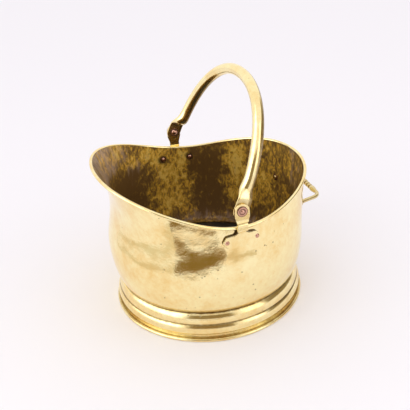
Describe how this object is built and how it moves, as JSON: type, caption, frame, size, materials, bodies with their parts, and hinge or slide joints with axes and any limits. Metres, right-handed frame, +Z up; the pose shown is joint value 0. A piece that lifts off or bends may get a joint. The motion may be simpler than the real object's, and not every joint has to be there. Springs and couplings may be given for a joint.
{
  "type": "helmet coal scuttle",
  "caption": "Brass helmet coal scuttle: a round body flared into a pouring spout, on a moulded foot ring, with a swinging tube bail and a fixed back handle.",
  "frame": {"origin": "middle of the foot ring, on the floor it stands on", "axes": "+Z up; -Y towards the spout, +Y towards the back handle; +X along the bail's pivot axis, to the left of someone who stands behind the scuttle and faces the spout, which is the side the picture shows"},
  "size_m": [0.2522, 0.2843, 0.2925],
  "materials": {
    "polished_brass": "polished sheet brass outside, tarnished inside",
    "dull_brass": "tarnished brass plate",
    "copper": "dull copper rivets, roves and washers",
    "iron_wire": "iron wire rolled into the edges"
  },
  "bodies": {
    "scuttle": {"body_shell": "polished_brass", "rim_wire": "iron_wire", "base_plate": "dull_brass", "foot_ring": "polished_brass", "foot_wire": "iron_wire", "bracket_left": "polished_brass", "bracket_right": "polished_brass", "bracket_rivets_left": "copper", "bracket_rivets_right": "copper", "bracket_roves_left": "copper", "bracket_roves_right": "copper", "pivot_rivet_left": "copper", "pivot_rivet_right": "copper", "pivot_rove_left": "copper", "pivot_rove_right": "copper", "pivot_washer_left": "copper", "pivot_washer_right": "copper", "rear_handle": "polished_brass", "rear_handle_roves": "copper"},
    "bail": {"bail": "polished_brass"}
  },
  "joints": [
    {"name": "bail_pivot", "type": "hinge", "parent": "scuttle", "child": "bail", "pos_m": [0, 0.0045, 0.1745], "axis": [1, 0, 0], "range_deg": [-62, 106]}
  ]
}
